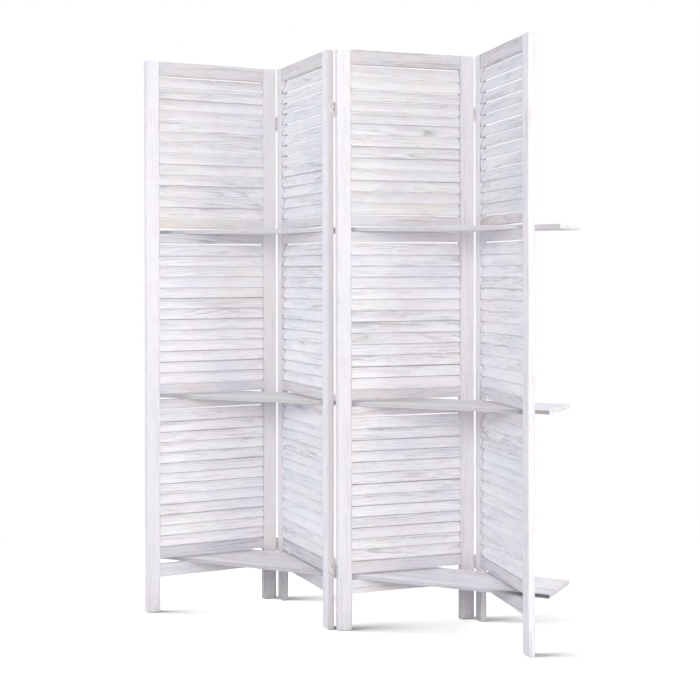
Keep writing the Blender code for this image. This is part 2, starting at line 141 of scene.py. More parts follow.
# The upper slats, by panel and counted from below, whose dark strip of painted joint shade shows, and how
# much of it does
UPPER_SHADE_STRIPS = {1: {0: 0.8, 2: 1.0, 4: 1.0, 10: 1.0}, 2: {0: 0.6, 1: 0.6, 2: 0.6, 3: 1.0},
                3: {2: 1.1, 4: 1.0, 5: 0.8, 7: 0.8}, 4: {0: 0.6, 1: 0.5, 2: 0.5}}
# Painted shade on each panel's upper slats: how light they are against its others
UPPER_PAINTED_SHADE = {1: 0.935, 2: 0.98, 3: 0.93, 4: 0.935}
# The heights between which the strips of painted joint shade get narrower upwards, and how much one strays
# from the next
SHADE_STRIP_HEIGHTS = (0.5, 1.3)
SHADE_STRIP_STRAY = (0.78, 1.1)
# A slat's attribute board_side: millimetres into its strip of painted joint shade, and this much on its
# underside
MILLIMETRES = 1000
UNDERSIDE = -0.2
# The warmth that a bank of slats is drawn from, for panels of odd and even number, and one bank apart. The
# even panels' cool draw is painted light: the blue of the cool fill light on their faces, over the fill
# lamp's own tint
WARM_SLATS = (0.25, 1.0)
PAINTED_COOL_LIGHT_SLATS = (0.0, 0.30)
WARM_BANKS = {"panel_3_upper_slats": (0.65, 1.45)}
# The shares of a shelf board's length between which its sides turn from the left bareness to the right
SIDE_RUN = (0.87, 0.92)
# Painted shade on the top board's front side where it lies behind panels 1 and 3, in their slots' left ends:
# where along X it is darker than elsewhere, and by how much
TOP_BOARD_SHADE_PLACES = (-0.642, -0.632, -0.599, -0.580, 0.006, 0.016, 0.033, 0.046)
TOP_BOARD_PAINTED_SHADE = (1.0, 2.3, 2.3, 1.0, 1.0, 1.7, 1.7, 1.0)
# Painted light and shade along the bottom board: where along it the colour gets lighter over the valley of
# panels 3 and 4 and darker at its right end and end face, and by how much
BOTTOM_BOARD_LIGHT_RUN = (0.42, 0.52, 0.84, 0.90, 0.995, 1.0)
BOTTOM_BOARD_PAINTED_LIGHT = (1.0, 1.07, 1.07, 0.92, 0.92, 0.86)

# Woods: wash, strength of the grain, width of a ring, strength of the tints, tones of edges and bare sides.
# The slats' bare side tone also colours their strips of painted joint shade
WOODS = {"stile": ("stile_wash", 0.55, 0.0052, 0.35, "bare", "bare"),
         "rail": ("rail_wash", 1.15, 0.0048, 0.75, "bare", None),
         "louvre": ("slat_wash", 1.0, 0.0042, 0.50, "bare", "bare"),
         # The shelf boards' edge tone is a painted highlight along their eased edges
         "shelf": ("board_wash", 1.15, 0.0060, 0.65, "crest", "board_side")}
# Noises in the wood: how fast each changes along the board and across it, its detail and roughness
WOOD_NOISES = {"wander": (1.1, 9.0, 2.0, 0.5), "wave": (8.0, 26.0, 1.0, 0.5), "cloud": (2.6, 8.0, 1.0, 0.5),
               "brushed": (3.0, 36.0, 2.0, 0.5), "fibres": (30.0, 900.0, 3.0, 0.6),
               "streaks": (12.0, 270.0, 4.0, 0.62), "strokes": (7.0, 110.0, 3.0, 0.6)}
# How far slow noise pushes the growth rings, and how far it pushes the fibres sideways
RING_WANDER = 0.060
FIBRE_WAVE = (0.0, 0.016, 0.016)
# How the noises show: the range that each is read over, and what comes out at the range's two ends
SHOWN = {"streaks": (0.44, 0.76, 0.0, 0.32), "strokes": (0.44, 0.74, 0.0, 0.14),
         "fibres": (0.50, 0.80, 0.0, 0.34), "ring_dark": (0.45, 0.92), "ring_end": (1.0, 0.94),
         "lines": (0.38, 0.66, 0.04, 0.26), "patches": (0.30, 0.70, 0.35, 1.15),
         "smear_hue": (0.32, 0.68, 0.0, 0.45), "cloud_hue": (0.3, 0.7, 0.0, 0.15),
         "side": (0.30, 0.75, 1.0, 0.82), "worn": (0.36, 0.70, 0.04, 0.26),
         "level": (0.32, 0.68, 0.985, 1.015), "rough": (0.3, 0.8, 0.52, 0.74)}
# How much of its hue a board has from its own warmth, and the tints by hue, where None is plain white
WARMTH_HUE = 0.40
TINTS = ((0.0, "blue_grey"), (0.28, "lavender"), (0.46, None), (0.60, "rose"), (0.76, None), (0.95, "cream"))

# Steels: how much more of the wash is gone where they are rubbed, and how much of it is gone all over
STEELS = {"washed_steel": (0.24, 0.0), "bared_steel": (0.30, 0.12)}

WHITE = (1.0, 1.0, 1.0)
SURROUND = (0.96, 0.97, 1.0)
FLOOR_SHOWN = (0.45, 0.45, 0.45)
FLOOR_BOUNCED = (0.20, 0.20, 0.205)
# How far from the middle the floor's shadows fade out
FLOOR_FADE = (1.1, 1.9)
# The soft lamps, which face the middle of the screen: their place, their side and the tint of their light
SCREEN_MIDDLE = (0, 0, 0.85)
SOFT_LAMPS = {"key": ((2.5, -3.5, 1.75), 1.5, (1.0, 0.982, 0.955)),
              "side": ((4.0, -0.75, 1.3), 1.5, (1.0, 0.985, 0.965)),
              "fill": ((-2.6, -3.4, 1.5), 2.0, (0.89, 0.96, 1.0))}
TOP_LAMP_PLACE = (1.4, 1.2, 4.4)
TOP_LAMP_WIDTH = math.radians(60)
FLOOR_LAMP_PLACE = (-2.5, -1.2, 1.6)


def linear(red, green, blue):
    """A screen colour in steps from 0 to 255, as the linear light that shaders use."""
    steps = np.array((red, green, blue)) / 255
    return tuple(np.where(steps <= 0.04045, steps / 12.92, ((steps + 0.055) / 1.055) ** 2.4))


def amount(name, description, default, **kind):
    return FloatProperty(name=name, description=description, default=default, **kind)


def length(name, description, default):
    return amount(name, description, default, min=0, precision=4, subtype="DISTANCE", unit="LENGTH")


def angle(name, description, degrees):
    return amount(name, description, math.radians(degrees), subtype="ANGLE", unit="ROTATION")


def share(name, description, default):
    return amount(name, description, default, min=0, max=1, subtype="FACTOR")


def colour(name, description, red, green, blue):
    return FloatVectorProperty(name=name, description=description, size=3, min=0, max=1,
                               subtype="COLOR", default=linear(red, green, blue))


class FoldingScreenWood(bpy.types.PropertyGroup):
    edge_radius: length("Edge radius", "Rounding of the boards' long edges", 0.0011)
    wear_width: length("Wear width", "How far the rubbed look reaches in from an edge", 0.0020)
    # The left stiles' inner edges take more of the bare tone, darker along their whole length
    inner_edge_darkening: amount("Inner wear", "How much more the left stiles' inner edges are rubbed", 3.2, min=0)
    rail_bite: length("Rail bite", "How far a rail's shoulder is pressed into its stile", 0.0004)
    bow: length("Bow", "How far a board strays from straight", 0.0003)
    slats: IntProperty(name="Slats", description="Slats in each louvred section", default=13, min=1)
    slat_thickness: length("Slat thickness", "Thickness of one louvre slat", 0.0050)
    slat_width: length("Slat width", "Width of one louvre slat along its slope", 0.03639)
    slat_radius: length("Slat edge radius", "Rounding of a slat's long edges", 0.0014)
    slat_lean: angle("Slat lean", "How far the slats lean back from upright", 18)
    slat_bottom_gap: length("Gap under slats", "Gap under the lowest slat of a section", 0.0025)
    slat_top_gap: length("Gap over slats", "Gap over the highest slat of a section", 0.0040)
    # The slats' top-edge strips are painted shade of the joint under the slat above, drawn as bare wood
    shade_strip_low: length("Bare strip, lower", "Unpainted strip along a low slat's top edge", 0.0065)
    shade_strip_high: length("Bare strip, upper", "Unpainted strip along a high slat's top edge", 0.0026)
    upper_cut: length("Upper cut", "How much narrower most upper slats are", 0.0031)
    housing: length("Housing", "How deep a slat's end is let into its stile", 0.0070)
    slot_play: length("Slot play", "How much wider than its slat a slot is", 0.0008)
    slot_spare: length("Slot spare", "How far a slot reaches past its slat, each way", 0.0022)
    lean_spread: angle("Lean spread", "How much one slat's lean strays from the next", 0.8)
    seat_spread: length("Seat spread", "How much one slat's height strays from the next", 0.0004)
    scuff_height: length("Scuff height", "How far up from the floor the stiles are scuffed", 0.10)
    bare_left: share("Bare side, left", "How bare the lower boards' sides are at the left", 0.42)
    bare_right: share("Bare side, right", "How bare the bottom board's sides are at the right", 1.0)
    bare_middle: share("Bare side, middle", "How bare the middle board's sides are at the right", 0.62)
    bare_top: share("Bare side, top board", "How bare the top board's sides are", 0.32)


class FoldingScreenHinges(bpy.types.PropertyGroup):
    plate_thickness: length("Plate thickness", "Thickness of a hinge leaf", 0.0009)
    plate_corner: length("Plate corner", "Rounding of a leaf's outer corners", 0.0022)
    plate_reach: length("Plate reach", "How far a leaf reaches from the pin", 0.0175)
    plate_height: length("Plate height", "Height of a hinge leaf", 0.043)
    knuckle_radius: length("Knuckle radius", "Outer radius of a knuckle", 0.0023)
    bore_radius: length("Bore radius", "Radius of a knuckle's bore", 0.0014)
    knuckle_gap: length("Knuckle gap", "Gap between neighbouring knuckles", 0.0003)
    pin_radius: length("Pin radius", "Radius of the hinge pin", 0.0011)
    head_radius: length("Pin head radius", "Radius of the domed heads of the pin", 0.0020)
    head_height: length("Pin head height", "Height of the domed heads of the pin", 0.0008)
    chamfer: length("Chamfer", "Broken edge of knuckles and plates", 0.00018)
    screw_radius: length("Screw head radius", "Radius of a countersunk screw head", 0.0029)
    screw_dome: length("Screw dome", "Height of a screw head's crown over the plate", 0.0004)
    rubbed_hinge: StringProperty(name="Rubbed hinge", description="The hinge whose wash is rubbed off",
                                 default="middle_fold_lower_hinge")
    cross_reach: length("Cross reach", "Half the length of the cross cut in a screw head", 0.0018)
    cross_width: length("Cross width", "Width of the cross cut in a screw head", 0.0009)
    cross_depth: length("Cross depth", "Depth of the cross cut in a screw head", 0.0005)


class FoldingScreenColours(bpy.types.PropertyGroup):
    stile_wash: colour("Stile wash", "Whitewash on the stiles", 242, 240, 243)
    rail_wash: colour("Rail wash", "Whitewash on the rails", 230, 228, 230)
    slat_wash: colour("Slat wash", "Whitewash on the louvre slats", 250, 250, 252)
    board_wash: colour("Board wash", "Whitewash on the shelf boards", 244, 244, 247)
    board_side: colour("Board side", "Thinly washed long sides of the shelf boards", 96, 93, 94)
    bare: colour("Bare wood", "Greyed wood where the wash is thin", 158, 150, 152)
    # The slot colour is painted shade for the hollow of a slot that the flat mouth sheets don't have
    slot: colour("Slot", "Unpainted wood in the slots of the stiles", 132, 122, 122)
    # A painted highlight along the shelf boards' eased edges
    crest: colour("Crest", "Thick wash along the boards' eased edges", 250, 249, 252)
    cream: colour("Cream", "Warmest tint of the wash, over white", 255, 248, 236)
    rose: colour("Rose", "Pink tint of the wash, over white", 255, 244, 247)
    lavender: colour("Lavender", "Lilac tint of the wash, over white", 247, 244, 255)
    blue_grey: colour("Blue grey", "Coolest tint of the wash, over white", 238, 246, 255)
    hinge_wash: colour("Hinge wash", "Whitewash that runs over the hinges", 232, 228, 232)
    stained_wash: colour("Hinge wash, stained", "Whitewash stained by the steel under it", 214, 209, 212)
    steel: colour("Hinge steel", "Colour of the dull nickelled hinges", 184, 178, 172)
    steel_dark: colour("Tarnish", "Colour of the tarnish on the hinges", 112, 103, 94)


class FoldingScreenStage(bpy.types.PropertyGroup):
    camera_place: FloatVectorProperty(name="Camera place", description="Place of the camera", size=3,
                                      default=(1.7481, -3.7494, 1.0497), unit="LENGTH")
    heading: angle("Heading", "How far the camera is turned to the left of straight on", 25.154)
    pitch: angle("Pitch", "How far the camera looks up", -0.339)
    roll: angle("Roll", "How far the camera leans to the right", 0.083)
    lens: amount("Lens", "Focal length", 70.728, unit="CAMERA")
    shift: amount("Shift", "Vertical shift of the frame", -0.10)
    floor_size: length("Floor size", "Side of the square floor", 14.0)
    ambient: amount("Ambient", "Strength of the even light", 0.54, min=0)
    key: amount("Key", "Power of the right front lamp", 63.0, unit="POWER")
    side: amount("Side", "Power of the lamp at the right", 35.0, unit="POWER")
    fill: amount("Fill", "Power of the left front lamp", 58.0, unit="POWER")
    top: amount("Top", "Strength of the even light from overhead", 1.28, min=0)
    floor_light: amount("Floor light", "Strength of the light on the floor", 12.6, min=0)
    floor_blur: angle("Floor blur", "How wide the light on the floor is", 46)


def settings(group):
    return getattr(bpy.context.scene, "folding_screen_" + group)


def draws(name):
    """Random numbers that are always the same for a piece of this name."""
    return np.random.default_rng(zlib.crc32(name.encode()))


# Places in the construction model


def node_points(name):
    mesh = frame["nodes"][name].data
    points = np.empty(len(mesh.vertices) * 3)
    mesh.vertices.foreach_get("co", points)
    return points.reshape(-1, 3)


class PanelFrame:
    """A panel's own axes: X from its left end to its right end, Y from front to back, Z up.

    They are read from the two feet that the record names, and the sizes from the panel's nodes.
    """

    def __init__(self, number):
        self.number = number
        self.body = f"panel_{number}"
        mounts = {mount["name"]: np.array(mount["pos_m"]) for mount in frame["record"]["mounts"]}
        left, right = (mounts[f"{self.body}_{side}_foot"] for side in ("left", "right"))
        across = (right - left) / np.linalg.norm(right - left)
        self.axes = np.array((across, np.cross((0, 0, 1), across), (0, 0, 1)))
        self.origin = left
        low, high = self.span(f"{self.body}_right_stile")
        self.stile_width, self.thickness, self.height = high - low
        self.origin = self.to_world((-self.stile_width / 2, 0, 0))
        self.width = high[0] + self.stile_width / 2

    def to_world(self, points):
        return np.asarray(points) @ self.axes + self.origin

    def span(self, node):
        own = (node_points(node) - self.origin) @ self.axes.T
        return own.min(axis=0), own.max(axis=0)


# Surfaces


def arc_steps(count):
    """Angles over a quarter turn, both ends included."""
    return np.linspace(0, np.pi / 2, count)


def rounded_section(width, thickness, radius, wear_width):
    """A rectangle with quarter circles for corners, as points, their outward normals and edge weights.

    A corner's points are its centre plus the radius times the direction at each angle of the quarter
    turn. The weight is 1 on a corner and falls to 0 at a further point, wear_width in along each flat.
    """
    turn = arc_steps(EDGE_STEPS)
    arc = np.stack((np.cos(turn), np.sin(turn)), axis=1)
    inset = min(wear_width, width / 2 - radius, thickness / 2 - radius) * WEAR_REACH_SHARE
    points, normals, weights = [], [], []
    for quarter in range(4):
        cosine, sine = round(math.cos(quarter * math.pi / 2)), round(math.sin(quarter * math.pi / 2))
        turned = arc @ np.array(((cosine, sine), (-sine, cosine)))
        centre = np.sign(turned[1]) * (np.array((width, thickness)) / 2 - radius)
        corner = centre + radius * turned
        before = -np.array((-turned[0][1], turned[0][0])) * inset
        beyond = np.array((-turned[-1][1], turned[-1][0])) * inset
        points += [corner[:1] + before, corner, corner[-1:] + beyond]
        normals += [turned[:1], turned, turned[-1:]]
        weights += [np.zeros(1), np.ones(len(corner)), np.zeros(1)]
    return np.concatenate(points), np.concatenate(normals), np.concatenate(weights)


def ring_faces(rings, count):
    """Faces between rings of points in order, and round the two points after them that close the ends."""
    index = np.arange(rings * count).reshape(rings, count)
    after = np.roll(index, -1, axis=1)
    quads = np.stack((index[:-1], after[:-1], after[1:], index[1:]), axis=-1).reshape(-1, 4)
    poles = np.full((2, count), rings * count) + ((0,), (1,))
    first = np.stack((after[0], index[0], poles[0]), axis=-1)
    last = np.stack((index[-1], after[-1], poles[1]), axis=-1)
    return quads.tolist() + first.tolist() + last.tolist()


def board_surface(kind, size, radius, rng, bow=0.0, end_steps=EDGE_STEPS):
    """A board with all its edges rounded, as points, normals, own coordinates, weights and faces.

    Parameter u runs along the length and v round the section. Over the quarter turn at an end the section
    shrinks by the radius times one less the sine, while u moves on by the radius times one less the
    cosine, and a middle point closes the end. The bow moves each whole section sideways by slow sines of u.
    """
    long, wide, thick = size
    turn = arc_steps(end_steps)
    inset, slope = radius * (1 - np.cos(turn)), np.cos(turn)
    inner = np.linspace(radius, long - radius, STATIONS[kind])[1:-1]
    straight = np.zeros(len(inner))
    along = np.concatenate((inset, inner, long - inset[::-1]))
    ends = radius * (1 - np.sin(turn))
    shrink = np.concatenate((ends, straight, ends[::-1]))[:, None, None]
    tip = np.concatenate((-slope, straight, slope[::-1]))[:, None]
    section, facing, weight = rounded_section(wide, thick, radius, settings("wood").wear_width)
    count = len(section)
    phase = rng.uniform(0, 2 * np.pi, (2, 2))
    pace = np.array(BOW_WAVES)[:, None] * np.pi / max(long, SHORTEST_BOW)
    wander = bow * np.sin(pace * along[:, None, None] + phase).mean(axis=1)
    drift = np.insert(wander, 0, 0, axis=1)
    ring = section * (1 - shrink / (np.array((wide, thick)) / 2))
    own = np.concatenate((np.repeat(along[:, None, None], count, 1), ring), axis=2)
    flat = np.sqrt(np.clip(1 - tip**2, 0, 1))
    normals = np.concatenate((np.repeat(tip[:, None], count, 1), facing * flat[:, None]), axis=2)
    weights = np.maximum(weight, np.abs(tip) * (np.abs(tip) < 1))
    caps = np.array(((along[0], 0, 0), (along[-1], 0, 0)))
    return {
        "points": np.concatenate(((own + drift[:, None]).reshape(-1, 3), caps + drift[[0, -1]])),
        "normals": np.concatenate((normals.reshape(-1, 3), ((-1, 0, 0), (1, 0, 0)))),
        "own": np.concatenate((own.reshape(-1, 3), caps)),
        "edge": np.concatenate((weights.reshape(-1), np.zeros(2))),
        "side": np.concatenate((np.abs(normals[..., 1]).reshape(-1) ** 2, np.zeros(2))),
        "faces": ring_faces(len(along), count),
    }


def carried(surface, origin, *axes):
    """The surface moved from its own axes to the given three. Left-handed ones turn its faces over."""
    axes = np.array(axes, float)
    moved = dict(surface)
    moved["points"] = surface["points"] @ axes + np.asarray(origin, float)
    if "normals" in surface:
        moved["normals"] = surface["normals"] @ axes
    if np.linalg.det(axes) < 0:
        moved["faces"] = [face[::-1] for face in surface["faces"]]
    return moved


def grown(surface, rng, tint_and_painted_light=None, warmth=(0, 1)):
    """Gives a board its own place in the log and its own tint, or the given warmth and lightness.

    board_place is the board's own coordinates, plus a far draw along the trunk and a near one from
    the pith. board_tint holds the warmth, the lightness and how thin the wash lies.
    """
    surface["place"] = surface["own"] + rng.uniform(*LOG_PLACES)
    tint = rng.uniform(*zip(warmth, LIGHTNESS, (0, 1)))
    if tint_and_painted_light:
        tint[:2] = tint_and_painted_light
    surface["tint"] = np.repeat(tint[None], len(surface["points"]), axis=0)
    return surface


def rubbed(surface, weight):
    """Gives every point of a hinge's surface the same wear."""
    surface["edge"] = np.full(len(surface["points"]), float(weight))
    return surface


def joined(surfaces):
    """One surface made of several separate ones."""
    merged = {key: np.concatenate([surface[key] for surface in surfaces])
              for key in surfaces[0] if key != "faces"}
    merged["faces"] = []
    start = 0
    for surface in surfaces:
        merged["faces"] += [[start + corner for corner in face] for face in surface["faces"]]
        start += len(surface["points"])
    return merged


def add_object(name, data):
    added = bpy.data.objects.new(name, data)
    bpy.context.scene.collection.objects.link(added)
    return added


def add_piece(name, surface, material, body, replaced):
    """Makes the surface an object that rides on a body of the construction model."""
    mesh = bpy.data.meshes.new(name)
    mesh.from_pydata(surface["points"], [], surface["faces"])
    if "normals" in surface:
        mesh.normals_split_custom_set_from_vertices(surface["normals"])
    else:
        mesh.shade_smooth()
        mesh.set_sharp_from_angle(angle=SHARP_ANGLE)
    for key in ("place", "tint", "edge", "side"):
        if key in surface:
            kind, field = ("FLOAT", "value") if surface[key].ndim == 1 else ("FLOAT_VECTOR", "vector")
            values = mesh.attributes.new("board_" + key, kind, "POINT").data
            values.foreach_set(field, surface[key].astype(np.float32).ravel())
    mesh.materials.append(material)
    piece = add_object(name, mesh)
    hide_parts(*replaced)
    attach(piece, body)


# Materials


class Nodes:
    """Adds nodes to a material or a world. A setting may be a value or another node's output."""

    def __init__(self, owner):
        owner.use_nodes = True
        self.owner = owner
        self.tree = owner.node_tree

    def fill(self, node, inputs):
        for key, value in inputs.items():
            socket = node.inputs[key]
            if isinstance(value, bpy.types.NodeSocket):
                self.tree.links.new(value, socket)
            else:
                socket.default_value = (*value, 1) if socket.type == "RGBA" else value
        return node

    def add(self, kind, inputs, output=0, **options):
        node = self.tree.nodes.new("ShaderNode" + kind)
        for option, value in options.items():
            setattr(node, option, value)
        return self.fill(node, inputs).outputs[output]

    def finish(self, name, inputs):
        """Sets inputs of a node that a new material or world already has, and returns the latter."""
        self.fill(self.tree.nodes[name], inputs)
        return self.owner

    def math(self, operation, first, second=0.0, third=0.0):
        return self.add("Math", {0: first, 1: second, 2: third}, operation=operation)

    def times(self, first, second):
        return self.math("MULTIPLY", first, second)

    def plus(self, base, value, factor):
        """The base plus the value times the factor."""
        return self.math("MULTIPLY_ADD", value, factor, base)

    def noise(self, vector, factors, detail=2.0, roughness=0.5):
        """Noise that changes as fast along each axis as its factor says."""
        place = self.add("VectorMath", {0: vector, 1: factors}, operation="MULTIPLY")
        return self.add("TexNoise", {"Vector": place, "Scale": 1.0, "Detail": detail,
                                     "Roughness": roughness})

    def wood_noise(self, name, vector):
        along, across, detail, roughness = WOOD_NOISES[name]
        return self.noise(vector, (along, across, across), detail, roughness)

    def spread(self, value, low, high, start=0.0, end=1.0):
        """Maps low..high to start..end with soft ends."""
        return self.add("MapRange", {"Value": value, "From Min": low, "From Max": high,
                                     "To Min": start, "To Max": end}, interpolation_type="SMOOTHSTEP")

    def mix(self, factor, first, second, blend="MIX"):
        """Mixes two colours. The Mix node keeps its colour sockets at 6 and 7."""
        return self.add("Mix", {0: factor, 6: first, 7: second}, output=2, data_type="RGBA",
                        blend_type=blend)

    def bump(self, height, strength, distance):
        return self.add("Bump", {"Strength": strength, "Distance": distance, "Height": height})

    def parts(self, vector):
        return self.add("SeparateXYZ", {0: vector}).node.outputs

    def attribute(self, name, output="Vector"):
        return self.add("Attribute", {}, output=output, attribute_name=name)

    def everywhere(self):
        return self.add("TexCoord", {}, output="Object")

    def lens_rays(self):
        """1 for rays that the background shows itself to: camera, mirror and glass rays."""
        path = self.add("LightPath", {}).node.outputs
        mirrored = self.math("MAXIMUM", path["Is Camera Ray"], path["Is Glossy Ray"])
        return self.math("MAXIMUM", mirrored, path["Is Transmission Ray"])


def new_material(name):
    return Nodes(bpy.data.materials.new(name))


def wood_material(kind):
    """Whitewashed softwood: grain lines and fibres under a brushed wash with faint tints.

    The lines are growth rings: the distance from the pith, pushed about by slow noise and cut into
    even steps, darkens towards the end of each step. Fibres, streaks and brush marks are noise drawn
    out along the board, each about four times as wide as the one before.
    """
    wash, grain, ring_width, tint_strength, edge_tone, side_tone = WOODS[kind]
    tones = settings("colours")
    nodes = new_material("whitewashed_" + kind)
    place = nodes.attribute("board_place")
    warmth, lightness, thinness = nodes.parts(nodes.attribute("board_tint"))

    _, across, through = nodes.parts(place)
    pith = nodes.math("SQRT", nodes.plus(nodes.times(across, across), through, through))
    pushed = nodes.plus(pith, nodes.wood_noise("wander", place), RING_WANDER)
    ring = nodes.math("FRACT", nodes.math("DIVIDE", pushed, ring_width))
    latewood = nodes.times(nodes.spread(ring, *SHOWN["ring_dark"]), nodes.spread(ring, *SHOWN["ring_end"]))

    wavy = nodes.add("VectorMath", {0: nodes.wood_noise("wave", place), 1: FIBRE_WAVE, 2: place},
                     operation="MULTIPLY_ADD")
    streaks, strokes, fibres = (nodes.wood_noise(name, wavy) for name in ("streaks", "strokes", "fibres"))
    brushed, cloud = (nodes.wood_noise(name, place) for name in ("brushed", "cloud"))

    smears = nodes.noise(nodes.everywhere(), (6.0, 6.0, 9.0))
    hue = nodes.plus(nodes.spread(smears, *SHOWN["smear_hue"]), warmth, WARMTH_HUE)
    hue = nodes.math("ADD", hue, nodes.spread(cloud, *SHOWN["cloud_hue"]))
    palette = nodes.add("ValToRGB", {0: hue})
    ramp = palette.node.color_ramp.elements
    while len(ramp) < len(TINTS):
        ramp.new(0.5)
    for stop, (position, tone) in zip(ramp, TINTS):
        stop.position = position
        stop.color = (*(getattr(tones, tone) if tone else WHITE), 1)
    washed = nodes.mix(tint_strength, getattr(tones, wash), palette, blend="MULTIPLY")

    marks = nodes.times(latewood, nodes.spread(brushed, *SHOWN["lines"]))
    for name, drawn_out in (("streaks", streaks), ("strokes", strokes), ("fibres", fibres)):
        marks = nodes.math("ADD", marks, nodes.spread(drawn_out, *SHOWN[name]))
    patchy = nodes.times(nodes.spread(brushed, *SHOWN["patches"]), grain)
    thinned = nodes.math("MULTIPLY_ADD", thinness, 0.7, 0.65)
    share_bare = nodes.times(nodes.times(marks, patchy), thinned)
    toned = nodes.mix(share_bare, washed, tones.bare)
    # On the slats this mix lays the painted joint shade of their top-edge strips
    if side_tone:
        side = nodes.times(nodes.attribute("board_side", "Fac"), nodes.spread(streaks, *SHOWN["side"]))
        toned = nodes.mix(side, toned, getattr(tones, side_tone))
    # On the shelf boards this edge mix lays a painted highlight; on the other woods it is wear
    worn = nodes.times(nodes.attribute("board_edge", "Fac"), nodes.spread(streaks, *SHOWN["worn"]))
    toned = nodes.mix(worn, toned, getattr(tones, edge_tone))
    level = nodes.times(lightness, nodes.spread(cloud, *SHOWN["level"]))
    height = nodes.plus(nodes.times(streaks, 0.3), fibres, 0.4)
    return nodes.finish("Principled BSDF", {
        "Base Color": nodes.add("VectorMath", {0: toned, "Scale": level}, operation="SCALE"),
        "Roughness": nodes.spread(streaks, *SHOWN["rough"]),
        "Normal": nodes.bump(nodes.plus(height, latewood, -0.4), 0.30, 0.0004),
        "Specular IOR Level": 0.30})


def slot_wood():
    """Painted shade of the slots' mouths: unpainted, shaded end grain with smears of wash, on a flat sheet
    with no hollow behind it.
    """
    tones = settings("colours")
    nodes = new_material("slot_wood")
    place = nodes.everywhere()
    smears = nodes.noise(place, (160.0, 160.0, 420.0), detail=3.0)
    pores = nodes.noise(place, (1500.0, 1500.0, 1500.0))
    return nodes.finish("Principled BSDF", {
        "Base Color": nodes.mix(nodes.spread(smears, 0.50, 0.80, 0.0, 0.55), tones.slot, tones.bare),
        "Roughness": nodes.spread(pores, 0.3, 0.8, 0.75, 0.92),
        "Normal": nodes.bump(pores, 0.4, 0.0002)})


def steel_material(name):
    """Nickelled steel under a coat of whitewash that is rubbed off knuckles and screws.

    Tarnish lies on the bare steel in cloudy patches, over fine brushing along the hinge.
    """
    rubbed_off, thinned = STEELS[name]
    tones = settings("colours")
    nodes = new_material(name)
    place = nodes.everywhere()
    brushing = nodes.noise(place, (2600.0, 2600.0, 160.0))
    patches = nodes.noise(place, (140.0, 140.0, 90.0), detail=4.0, roughness=0.65)
    coat = nodes.noise(place, (420.0, 420.0, 120.0), detail=3.0, roughness=0.6)
    tarnish = nodes.spread(patches, 0.44, 0.70, 0.0, 0.70)
    steel = nodes.mix(tarnish, tones.steel, tones.steel_dark)
    worn = nodes.plus(coat, nodes.attribute("board_edge", "Fac"), rubbed_off)
    bare = nodes.spread(worn, 0.58 - thinned, 0.78 - thinned)
    paint = nodes.mix(nodes.spread(patches, 0.35, 0.65), tones.hinge_wash, tones.stained_wash)
    rough = nodes.plus(nodes.math("MULTIPLY_ADD", tarnish, 0.25, 0.30), brushing, 0.18)
    return nodes.finish("Principled BSDF", {
        "Base Color": nodes.mix(bare, paint, steel),
        "Roughness": nodes.add("Mix", {0: bare, 2: 0.62, 3: rough}),
        "Metallic": bare,
        "Normal": nodes.bump(nodes.plus(nodes.times(brushing, 0.2), bare, -0.8), 0.5, 0.00008)})


# Stage


def lit_world(strength):
    """An even pale surround for the lamps' light, pure white where the camera sees it."""
    bpy.context.scene.world = bpy.data.worlds.new("studio")
    nodes = Nodes(bpy.context.scene.world)
    nodes.finish("Background", {"Color": SURROUND, "Strength": strength})
    lit = nodes.tree.nodes["Background"].outputs[0]
    shown = nodes.add("Background", {"Color": WHITE, "Strength": 1.0})
    nodes.finish("World Output", {0: nodes.add("MixShader", {0: nodes.lens_rays(), 1: lit, 2: shown})})


def floor_material():
    """A white floor that keeps the shadows close to the feet and turns plain white further off.

    Only the camera and mirrors see the bright floor. Light that bounces off it comes from a duller
    one, so that the floor's own lamp doesn't light the screen from below.
    """
    nodes = new_material("studio_floor")
    away = nodes.add("VectorMath", {0: nodes.everywhere()}, output="Value", operation="LENGTH")
    shown = nodes.add("BsdfDiffuse", {"Color": FLOOR_SHOWN})
    faded = nodes.add("MixShader", {0: nodes.spread(away, *FLOOR_FADE), 1: shown,
                                    2: nodes.add("Emission", {})})
    bounced = nodes.add("BsdfDiffuse", {"Color": FLOOR_BOUNCED})
    by_ray = nodes.add("MixShader", {0: nodes.lens_rays(), 1: bounced, 2: faded})
    return nodes.finish("Material Output", {0: by_ray})


def add_floor(size):
    """A flat square grid just under the feet."""
    steps = np.linspace(-size / 2, size / 2, 3)
    across, back = np.meshgrid(steps, steps, indexing="ij")
    points = np.stack((across, back, np.full(across.shape, -FLOOR_DROP)), axis=-1).reshape(-1, 3)
    index = np.arange(len(points)).reshape(across.shape)
    quads = np.stack((index[:-1, :-1], index[1:, :-1], index[1:, 1:], index[:-1, 1:]), -1).reshape(-1, 4)
    mesh = bpy.data.meshes.new("floor")
    mesh.from_pydata(points, [], quads.tolist())
    mesh.materials.append(floor_material())
    floor = add_object("floor", mesh)
    return floor


def add_lamp(name, kind, place, target, power, **options):
    """A lamp that faces its target. One of kind SUN is a wide patch of even light, far off behind it."""
    light = bpy.data.lights.new(name, kind)
    light.energy = power
    for option, value in options.items():
        setattr(light, option, value)
    lamp = add_object(name, light)
    lamp.location = place
    lamp.rotation_euler = (Vector(place) - Vector(target)).to_track_quat("Z", "Y").to_euler()
    return lamp


def add_camera(stage):
    camera = add_object("camera", bpy.data.cameras.new("camera"))
    camera.data.lens = stage.lens
    camera.data.shift_y = stage.shift
    camera.location = stage.camera_place
    camera.rotation_euler = (math.pi / 2 + stage.pitch, stage.roll, stage.heading)
    bpy.context.scene.camera = camera


# Louvre and hinge surfaces


